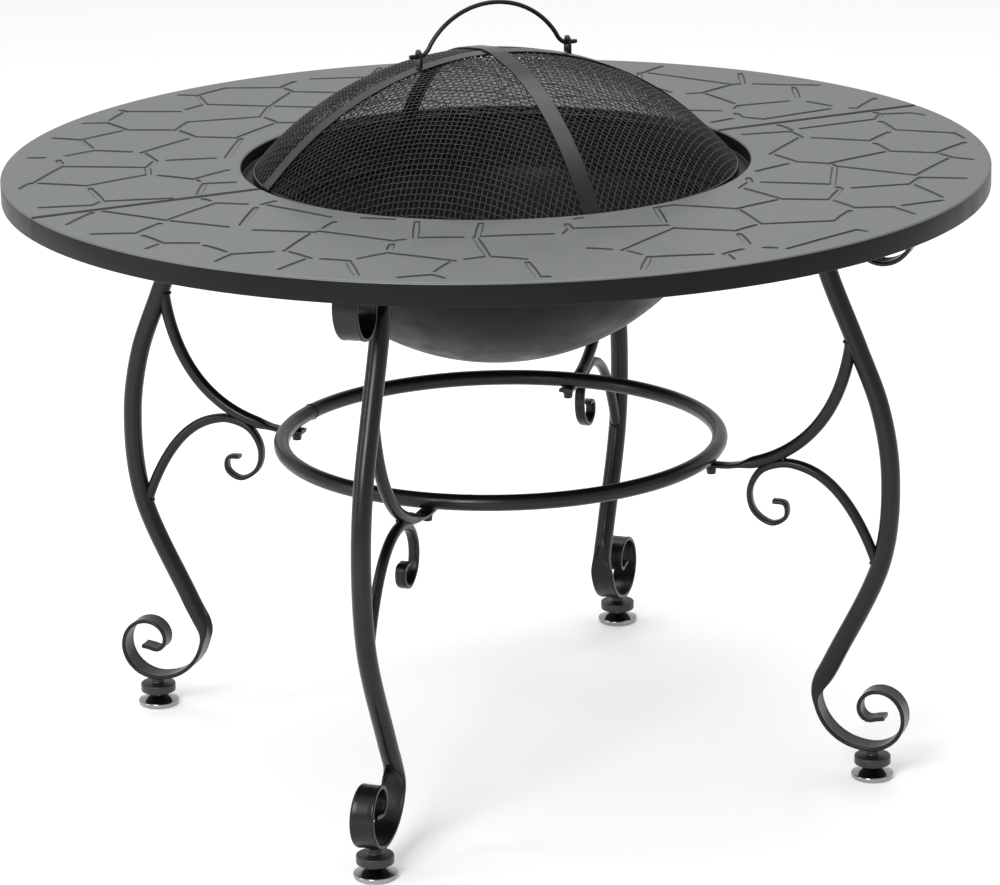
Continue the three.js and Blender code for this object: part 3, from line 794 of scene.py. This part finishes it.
def screen_wires():
    """Square-woven wire pressed into a dome: each wire runs over one and under the next."""
    sphere = DOME_SPHERE - DOME_TOP_GAP
    edge = DOME_RADIUS - WIRE_END_GAP
    count = int(edge / WIRE_PITCH)
    weave = WIRE_RADIUS * 0.9
    curve = bpy.data.curves.new("screen_wires", "CURVE")
    curve.dimensions = "3D"
    curve.bevel_depth = WIRE_RADIUS * MM
    curve.bevel_resolution = 0
    curve.use_fill_caps = True
    for direction in (0, 1):
        for line in range(-count, count + 1):
            across = line * WIRE_PITCH
            half = math.sqrt(edge ** 2 - across ** 2)
            crossings = int(half / WIRE_PITCH)
            stops = [(-half, 0)] + [(k * WIRE_PITCH, k) for k in range(-crossings, crossings + 1)]
            stops.append((half, 0))
            wire = curve.splines.new("POLY")
            wire.points.add(len(stops) - 1)
            for point, (along, crossing) in zip(wire.points, stops):
                x, y = (along, across) if direction == 0 else (across, along)
                over = 0 if abs(along) == half else (-1) ** (crossing + line + direction)
                reach = sphere + over * weave
                height = math.sqrt(reach ** 2 - x ** 2 - y ** 2)
                point.co = (x * MM, y * MM, (DOME_CENTRE + height) * MM, 1)
    wires = bpy.data.objects.new("woven_screen_dome", curve)
    bpy.context.scene.collection.objects.link(wires)
    deselect()
    wires.select_set(True)
    bpy.context.view_layer.objects.active = wires
    bpy.ops.object.convert(target="MESH")
    return named("woven_screen_dome")


screen_place = turned_about_z(SCREEN_TURN)
dome = smooth(moved(screen_wires(), turned_about_z(SCREEN_TURN + WEAVE_TURN)), 60)
finished(dome, wire_black, "screen", "wire_mesh", "screen_mesh")

# The rim is a flat hoop with a round wire bead along its top edge
rim = spun("screen_hoop", [
    (RIM_OUTER - 1.8, RIM_BOTTOM),
    (RIM_OUTER - 0.3, RIM_BOTTOM),
    (RIM_OUTER, RIM_BOTTOM + 0.3),
    (RIM_OUTER, RIM_BOTTOM + 5),
    *arc(RIM_OUTER - 1.6, RIM_BOTTOM + 6.5, 1.6, -30, 210, 12),
    (RIM_OUTER - 2.1, RIM_BOTTOM + 5),
    (RIM_OUTER - 2.1, RIM_BOTTOM + 0.3),
], 160)
finished(smooth(rim, 40), powder_coat, "screen", "frame_black", "screen_rim")

BAND_WIDTH = 20
BAND_THICKNESS = 1.5
BAND_STEPS = 48


def band_section(width, thickness):
    """A flat strip with its edges dressed round."""
    half, edge = width / 2, thickness / 2
    return [
        (edge, half - 0.3), (edge - 0.3, half), (-edge + 0.3, half), (-edge, half - 0.3),
        (-edge, -half + 0.3), (-edge + 0.3, -half), (edge - 0.3, -half), (edge, -half + 0.3),
    ]


def screen_band(name, lift):
    """A strip over the dome, raised in the middle by lift, its ends turned down outside the hoop."""
    line = DOME_SPHERE + 0.3 + BAND_THICKNESS / 2
    end = RIM_OUTER + 0.9 + BAND_THICKNESS / 2
    spread = math.degrees(math.asin(DOME_RADIUS / DOME_SPHERE))
    points = [(-end, RIM_BOTTOM + 1.5), (-end, DOME_BASE - 1)]
    for step in range(1, BAND_STEPS):
        angle = math.radians(90 + spread - 2 * spread * step / BAND_STEPS)
        middle = abs(math.cos(angle)) * line
        raised = lift * (1 - smoothstep((middle - BAND_WIDTH * 0.75) / BAND_WIDTH))
        points.append(((line + raised) * math.cos(angle), DOME_CENTRE + (line + raised) * math.sin(angle)))
    points += [(end, DOME_BASE - 1), (end, RIM_BOTTOM + 1.5)]
    stations, _ = eased_line(points, 5)
    corners = band_section(BAND_WIDTH, BAND_THICKNESS)
    return smooth(drawn(name, [on_station(place, way, corners) for place, way, _ in stations]), 35)


under = moved(screen_band("screen_strap_under", 0), screen_place)
finished(under, powder_coat, "screen", "frame_black", "screen_band_under")
over = screen_band("screen_strap_over", BAND_THICKNESS + 0.3)
moved(over, turned_about_z(SCREEN_TURN + 90))
finished(over, powder_coat, "screen", "frame_black", "screen_band_over")

# ---- bail and its two eyes ----

LUG_THICKNESS = 3
EYE_RADIUS = 7.5
EYE_LEG = 12.2
EYE_CLEARANCE = 0.6
BAIL_ROD = 5
BAIL_RISE = 52.6
BAIL_END = 11


def bail_eye(name, side):
    """An upright plate with a rounded top and a drilled eye, welded to the strap by its foot."""
    eye = rod(name, EYE_RADIUS, -LUG_THICKNESS / 2, LUG_THICKNESS / 2, 40)
    leg = block("eye_leg", (EYE_LEG, 2 * EYE_RADIUS, LUG_THICKNESS), (EYE_LEG / 2, 0, 0), 0)
    carved(eye, leg, "UNION")
    carved(eye, rod("eye_hole", BAIL_ROD / 2 + EYE_CLEARANCE, -5, 5, 32))
    rounded_edges(eye, 0.45, 2, 50)
    upright = Matrix.Rotation(math.pi / 2, 4, "Y")
    moved(eye, screen_place @ shifted(side * LUG_RADIUS, 0, BAIL_AXIS) @ upright)
    lowest = min(corner.co.z for corner in eye.data.vertices) / MM
    place = screen_place @ shifted(side * LUG_RADIUS, 0, lowest + 0.4)
    bead = block("eye_weld", (4.6, 14, 1.6), (0, 0, 0), 0.7)
    lean = Matrix.Rotation(side * math.asin(LUG_RADIUS / DOME_SPHERE), 4, "Y")
    moved(bead, place @ lean)
    return smooth(joined([eye, bead], name), 35)


for name, side in (("left", -1), ("right", 1)):
    eye = bail_eye(f"drilled_bail_eye_{name}", side)
    finished(eye, powder_coat, "screen", "frame_black", f"bail_lug_{name}")


def bail():
    elbow = LUG_RADIUS - 8
    bow_radius = (elbow ** 2 + BAIL_RISE ** 2) / (2 * BAIL_RISE)
    spread = math.degrees(math.asin(elbow / bow_radius))
    bow = arc(0, BAIL_AXIS + BAIL_RISE - bow_radius, bow_radius, 86 + spread, 94 - spread, 24)
    points = [
        (-LUG_RADIUS - BAIL_END, BAIL_AXIS), (-LUG_RADIUS, BAIL_AXIS), (-elbow - 3, BAIL_AXIS + 0.5), *bow,
        (elbow + 3, BAIL_AXIS + 0.5), (LUG_RADIUS, BAIL_AXIS), (LUG_RADIUS + BAIL_END, BAIL_AXIS),
    ]
    stations, length = eased_line(points, 2.5)
    sections = []
    for place, way, along in stations:
        from_end = min(along, length - along)
        blunt = 0.8 if from_end < 0.5 else 1
        sections.append(on_station(place, way, ring_of(BAIL_ROD * blunt, BAIL_ROD * blunt, 2, 16)))
    return moved(smooth(drawn("bent_rod_bail", sections), 50), screen_place)


finished(bail(), powder_coat, "bail", "frame_black", "bail_handle")


# ---- legs ----

FOOT_STRIP_BOTTOM = 34.3
STRIP_TOP = 683.9
FOOT_SCROLL = (42.5, 8, FOOT_STRIP_BOTTOM + 3 + 42.5)
TOP_SCROLL = (48, 16, STRIP_TOP - 3 - 48)
SCROLL_BEND = 60
FLATTEN = 50
TUBE_SIDES = 28
END_TAPER = 150
LEG_BOW = [(0.075, -46), (0.307, 9), (0.492, 18), (0.64, 6), (0.776, -21), (0.93, -54)]


def scroll(outer, eye, centre, sense):
    """From the eye outwards. Sense is 1 at the foot and -1 under the top."""
    points = [(FOOT_RADIUS + 15, centre - sense * (eye - 2))]
    for step in range(16):
        angle = math.radians(270 - 360 * step / 15)
        reach = mixed(eye, outer, step / 15)
        points.append((
            FOOT_RADIUS + 3 + reach * math.cos(angle),
            centre + sense * reach * math.sin(angle),
        ))
    return points


def leg_points():
    foot_bend = FOOT_STRIP_BOTTOM + 3 + SCROLL_BEND
    top_bend = STRIP_TOP - 3 - SCROLL_BEND
    lower = arc(FOOT_RADIUS - 4, foot_bend, SCROLL_BEND, 262, 180, 5)
    upper = arc(FOOT_RADIUS - 4, top_bend, SCROLL_BEND, 180, 98, 5)
    bow = [(FOOT_RADIUS + out, mixed(foot_bend, top_bend, share)) for share, out in LEG_BOW]
    return [*scroll(*FOOT_SCROLL, 1), *lower, *bow, *upper, *reversed(scroll(*TOP_SCROLL, -1))]


def strip_corner(corner, width):
    """The pressed strip is hollowed along its middle, which leaves a bead along both edges."""
    inward, sideways = corner
    level = 1 - abs(2 * sideways / width)
    return inward * (1 - 0.34 * smoothstep(level * 2.2)), sideways


def scrolled_leg():
    points = leg_points()
    foot_strip = eased_line(points[:22], 2)[1]
    top_strip = eased_line(points[-22:], 2)[1]
    stations, length = eased_line(points, 5)
    tube = ring_of(LEG_TUBE, LEG_TUBE, 2, TUBE_SIDES)
    sections = []
    for place, way, along in stations:
        taper = mixed(0.72, 1, smoothstep(min(along, length - along) / END_TAPER))
        width = STRIP_WIDTH * taper
        flat_bar = ring_of(width, STRIP_THICKNESS, 4.5, TUBE_SIDES)
        strip = [strip_corner(corner, width) for corner in flat_bar]
        nearest = min(along - foot_strip, length - along - top_strip)
        corners = []
        for flat, full in zip(strip, tube):
            point = 0.55 * FLATTEN * (1 - abs(2 * flat[1] / width))
            press = smoothstep((nearest - point) / (0.5 * FLATTEN))
            corners.append((mixed(flat[0], full[0], press), mixed(flat[1], full[1], press)))
        sections.append(on_station(place, way, corners))
    return smooth(drawn("scrolled_leg", sections), 40)


leg = scrolled_leg()
around_the_legs(leg, "scrolled_leg", powder_coat, "frame_black", "leg")


# ---- braces, ornaments and the ring ----

BRACE_TUBE = 14
BLADE_WIDTH = 17
BLADE_THICKNESS = 5
RING_TUBE = 18
BLADE_CENTRE = RING_HEIGHT - RING_TUBE / 2 - 0.3 - BLADE_THICKNESS / 2


def leg_reach(height):
    """Distance of the leg's centreline from the axis at a height between the bends."""
    line, _ = eased_line(leg_points()[21:-21], 1.5)
    return min(line, key=lambda station: abs(station[0].y - height))[0].x


def bezier(p0, p1, p2, p3, steps):
    points = []
    for step in range(steps + 1):
        t = step / steps
        weights = ((1 - t) ** 3, 3 * t * (1 - t) ** 2, 3 * t * t * (1 - t), t ** 3)
        points.append(tuple(sum(w * p[k] for w, p in zip(weights, (p0, p1, p2, p3))) for k in (0, 1)))
    return points


BRACE_TOP = 518
ORNAMENT_FOOT = 247
ORNAMENT_CONTACT = 0.52
ORNAMENT_ROD = 12
brace_start = (leg_reach(BRACE_TOP), BRACE_TOP)


def brace_points():
    seat = (RING_RADIUS + RING_TUBE, BLADE_CENTRE)
    span = (brace_start[0] - seat[0], brace_start[1] - seat[1])
    points = bezier(
        brace_start,
        (brace_start[0] - 0.08 * span[0], brace_start[1] - 0.74 * span[1]),
        (seat[0] + 0.42 * span[0], seat[1] + 0.04 * span[1]),
        seat, 14,
    )
    return points + [(RING_RADIUS, BLADE_CENTRE), (RING_RADIUS - 9, BLADE_CENTRE)]


def brace():
    """A tube from the leg, its inner end pressed into a blade that the ring is bolted to."""
    stations, length = eased_line(brace_points(), 4)
    sections = []
    for place, way, along in stations:
        full = smoothstep((length - along - RING_TUBE - 21) / 22)
        corners = ring_of(
            mixed(BLADE_WIDTH, BRACE_TUBE, full), mixed(BLADE_THICKNESS, BRACE_TUBE, full),
            mixed(4, 2, full), 20,
        )
        sections.append(on_station(place, way, corners))
    tube = smooth(drawn("brace", sections), 40)
    start, onward = stations[0][0], stations[3][0]
    way = Vector((onward.x - start.x, 0, onward.y - start.y)).normalized()
    seat = Vector((start.x, 0, start.y)) + way * 11
    bead = weld_bead("brace_weld", seat, way, BRACE_TUBE / 2 + 0.4, 1.7, 5)
    return smooth(joined([tube, bead], "brace"), 40)


def ornament():
    """A rod that springs from the leg, touches the brace and curls back in a flattened scroll."""
    foot = (leg_reach(ORNAMENT_FOOT), ORNAMENT_FOOT)
    line, _ = eased_line(brace_points(), 1)
    reach = mixed(RING_RADIUS, brace_start[0], ORNAMENT_CONTACT)
    contact = min(line, key=lambda station: abs(station[0].x - reach))[0]
    peak = (contact.x, contact.y - 13)
    corner = (foot[0] - 0.38 * (foot[0] - peak[0]), peak[1] + 2)
    rise = []
    for step in range(8):
        t = step / 7
        weights = ((1 - t) ** 2, 2 * t * (1 - t), t * t)
        rise.append(tuple(sum(w * p[k] for w, p in zip(weights, (foot, corner, peak))) for k in (0, 1)))
    curl = [(-26, -10), (-39, -34), (-34, -58), (-13, -71), (3, -62), (2, -47), (-12, -45)]
    points = rise + [(peak[0] + out, peak[1] + up) for out, up in curl]
    stations, length = eased_line(points, 3.5)
    sections = []
    for place, way, along in stations:
        flat = smoothstep((along / length - 0.35) / 0.5)
        corners = ring_of(ORNAMENT_ROD, mixed(ORNAMENT_ROD, 5, flat), mixed(2, 4, flat), 18)
        sections.append(on_station(place, way, corners))
    bar = smooth(drawn("ornament", sections), 40)
    start, onward = stations[0][0], stations[3][0]
    way = Vector((onward.x - start.x, 0, onward.y - start.y)).normalized()
    foot_bead = weld_bead("foot_weld", Vector((start.x, 0, start.y)) + way * 10.5, way, 6.3, 1.6, 8)
    touch_bead = weld_bead("touch_weld", (peak[0], 0, peak[1] + 6), (1, 0, 0.1), 4.2, 1.5, 9, 24)
    return smooth(joined([bar, foot_bead, touch_bead], "ornament"), 40)


around_the_legs(brace(), "bladed_brace", powder_coat, "frame_black", "brace")
around_the_legs(ornament(), "curled_ornament", powder_coat, "frame_black", "ornament")


def tie_ring():
    """The rolled tube ring, with the bead where its ends are welded together."""
    deselect()
    bpy.ops.mesh.primitive_torus_add(
        major_radius=RING_RADIUS * MM, minor_radius=RING_TUBE / 2 * MM, major_segments=144,
        minor_segments=28,
    )
    ring = smooth(moved(named("tie_ring"), shifted(0, 0, RING_HEIGHT)), 60)
    joint = math.radians(126)
    centre = (RING_RADIUS * math.cos(joint), RING_RADIUS * math.sin(joint), RING_HEIGHT)
    bead = weld_bead("ring_weld", centre, (-math.sin(joint), math.cos(joint), 0), 8.6, 1.3, 21)
    return smooth(joined([ring, bead], "rolled_tie_ring"), 60)


finished(tie_ring(), powder_coat, "frame", "frame_black", "lower_ring")


# ---- plates, bolts, collars and glides ----

def heights(node):
    """Lowest and highest point of a CAD node, in millimetres."""
    low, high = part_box(node)
    return low.z / MM, high.z / MM


def hex_head(name, across, bottom, top, sides=6):
    """A hexagon with its top corners turned off."""
    head = rod(name, across / math.sqrt(3), bottom, top, sides)
    crown = rod("crown", across / math.sqrt(3) * 1.01, bottom - 1, top, 48)
    bpy.ops.object.mode_set(mode="EDIT")
    bpy.ops.mesh.select_all(action="DESELECT")
    turned = bmesh.from_edit_mesh(crown.data)
    for face in turned.faces:
        face.select = face.normal.z < -0.9
    bmesh.update_edit_mesh(crown.data)
    bpy.ops.transform.resize(value=(0.82, 0.82, 1))
    bpy.ops.object.mode_set(mode="OBJECT")
    carved(head, crown, "INTERSECT")
    return rounded_edges(head, 0.15, 2, 30)


def bolt_upwards(name, size, across, bottom, seat, top):
    head = hex_head(name, across, bottom, seat)
    shank = rod("shank", size / 2, seat - 1, top, 24, 0.4)
    return smooth(joined([head, shank], name), 30)


bottom, top = heights("leg_bolt_front_left")
seat = STRIP_TOP - STRIP_THICKNESS - 2
leg_bolt = moved(bolt_upwards("leg_bolt", 8, 13, bottom, seat, top), shifted(FOOT_RADIUS, 0, 0))
around_the_legs(leg_bolt, "hex_leg_bolt", zinc_plate, "zinc_bolts", "leg_bolt")

bottom, top = heights("ring_bolt_front_left")
ring_bolt = moved(bolt_upwards("ring_bolt", 6, 10.2, bottom, bottom + 6, top), shifted(RING_RADIUS, 0, 0))
around_the_legs(ring_bolt, "hex_ring_bolt", powder_coat, "zinc_bolts", "ring_bolt")

bottom, top = heights("ring_washer_front_left")
low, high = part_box("ring_washer_front_left")
washer_radius = (high.x - low.x) / 2 / MM
washer = spun("washer", [
    (3.4, bottom), (washer_radius - 0.4, bottom), (washer_radius, bottom + 0.4),
    (washer_radius, top - 0.4), (washer_radius - 0.4, top), (3.4, top),
], 40)
moved(smooth(washer, 30), shifted(RING_RADIUS, 0, 0))
around_the_legs(washer, "flat_ring_washer", powder_coat, "zinc_bolts", "ring_washer")

PLATE = (56, 34, 4)
PLATE_GAP = 0.3
plate = block("mount_plate", PLATE, (FOOT_RADIUS, 0, UNDERSIDE - PLATE_GAP - PLATE[2] / 2), 0.6)
around_the_legs(smooth(plate, 30), "mounting_plate", powder_coat, "frame_black", "mount_plate")

for name in ("left", "right"):
    low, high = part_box(f"seam_bolt_{name}")
    centre = (low + high) / 2 / MM
    upright = Matrix.Rotation(-math.pi / 2, 4, "X")
    stack = SEAM_GAP / 2 + SHEET + 0.3
    bolt = bolt_upwards(f"hex_seam_bolt_{name}", 6, 9.6, -stack - 3.9, -stack, high.y / MM)
    moved(bolt, shifted(centre.x, 0, centre.z) @ upright)
    finished(bolt, zinc_plate, "frame", "zinc_bolts", f"seam_bolt_{name}")
    nut = hex_head(f"hex_seam_nut_{name}", 9.6, stack, stack + 5.1)
    carved(nut, rod("thread_hole", 3.3, stack - 2, stack + 8, 24))
    moved(smooth(nut, 30), shifted(centre.x, 0, centre.z) @ upright)
    finished(nut, zinc_plate, "frame", "zinc_bolts", f"seam_nut_{name}")

COLLAR_BOTTOM = 17
collar = spun("foot_collar", [
    (4.3, COLLAR_BOTTOM),
    (18.6, COLLAR_BOTTOM),
    *arc(19.3, COLLAR_BOTTOM + 1.2, 1.2, -90, 0, 4),
    *arc(19.0, COLLAR_BOTTOM + 8.5, 1.5, 0, 90, 5),
    (9.5, COLLAR_BOTTOM + 10),
    *arc(9.5, COLLAR_BOTTOM + 12.5, 2.5, 270, 180, 4),
    (7.0, FOOT_STRIP_BOTTOM - 0.3),
    (4.3, FOOT_STRIP_BOTTOM - 0.3),
], 64)
moved(smooth(collar, 35), shifted(FOOT_RADIUS, 0, 0))
around_the_legs(collar, "moulded_foot_collar", moulded_nylon, "foot_plastic", "foot_collar")

glide = spun("glide", [
    (0, 0),
    (16.5, 0),
    *arc(20.5, 3.5, 3.5, -90, 0, 6),
    *arc(22.6, 5.2, 1.4, -10, 80, 5),
    (19.6, 7.4),
    (12.4, 10.6),
    (9.4, 12.0),
    (5.6, 12.5),
    *[(4 - 0.35 * (step % 2), 13 + 0.6 * step) for step in range(27)],
    (3.2, 29.5),
    (0, 29.5),
], 64)
moved(smooth(glide, 30), shifted(FOOT_RADIUS, 0, 0))
around_the_legs(glide, "chromed_foot_glide", chrome_plate, "chrome_feet", "foot_glide", "glide_{}")


# ---- floor, light and camera ----

deselect()
bpy.ops.mesh.primitive_plane_add(size=60)
floor = named("studio_floor")
floor_finish, tree = new_finish("pale_studio_floor")
floor_shader = add_node(tree, "ShaderNodeBsdfPrincipled", {
    "Base Color": linear("#f4f4f2"), "Roughness": 0.7, "Emission Color": linear("#ffffff"),
    "Emission Strength": 0.17,
})
add_node(tree, "ShaderNodeOutputMaterial", {}, {"Surface": floor_shader.outputs["BSDF"]})
floor.data.materials.append(floor_finish)

world = bpy.data.worlds.new("soft_studio")
world.use_nodes = True
world.node_tree.nodes.clear()
glow = add_node(world.node_tree, "ShaderNodeBackground", {"Color": linear("#f6f7f8"), "Strength": 0.8})
add_node(world.node_tree, "ShaderNodeOutputWorld", {}, {"Surface": glow.outputs["Background"]})
bpy.context.scene.world = world


def soft_box(name, place, aim, size, power):
    lamp = bpy.data.lights.new(name, "AREA")
    lamp.shape = "RECTANGLE"
    lamp.size, lamp.size_y = size
    lamp.energy = power
    holder = bpy.data.objects.new(name, lamp)
    bpy.context.scene.collection.objects.link(holder)
    holder.location = place
    holder.rotation_euler = (Vector(aim) - Vector(place)).to_track_quat("-Z", "Y").to_euler()


VIEW_TURN = math.radians(-25.99)


def seen_from(right, away, up):
    """A place given to the right of the camera's view, away from it and up, in metres."""
    return (
        right * math.cos(VIEW_TURN) - away * math.sin(VIEW_TURN),
        right * math.sin(VIEW_TURN) + away * math.cos(VIEW_TURN),
        up,
    )


soft_box("key_soft_box", seen_from(-1.3, -3.0, 2.3), (0, 0, 0.4), (1.2, 2.0), 95)
soft_box("left_strip_box", seen_from(-2.9, -0.9, 1.5), (0, 0, 0.4), (0.5, 2.4), 22)
soft_box("overhead_soft_box", seen_from(0, 1.2, 3.4), (0, 0, 0.5), (3.4, 2.4), 60)

# The camera stands 17 degrees above the level
DISTANCE = 4.95
FOCAL_LENGTH = 156.35
HEIGHT_AIMED = 0.33
ELEVATION = 0.2968
ROLL = -0.0181
away = Vector(seen_from(0, 1, 0))
forward = away * math.cos(ELEVATION) - Vector((0, 0, math.sin(ELEVATION)))
level = Vector(seen_from(1, 0, 0))
upward = level.cross(forward)
right = level * math.cos(ROLL) + upward * math.sin(ROLL)
over_head = right.cross(forward)
lens = bpy.data.cameras.new("studio_camera")
lens.sensor_width = 36
lens.lens = FOCAL_LENGTH
lens.shift_x = -0.0012
lens.shift_y = 0.0248
camera = bpy.data.objects.new("studio_camera", lens)
bpy.context.scene.collection.objects.link(camera)
stand = Vector((0, 0, HEIGHT_AIMED)) - forward * DISTANCE
camera.matrix_world = Matrix.Translation(stand) @ Matrix((right, over_head, -forward)).transposed().to_4x4()
bpy.context.scene.camera = camera

bpy.context.scene.view_settings.view_transform = "Standard"
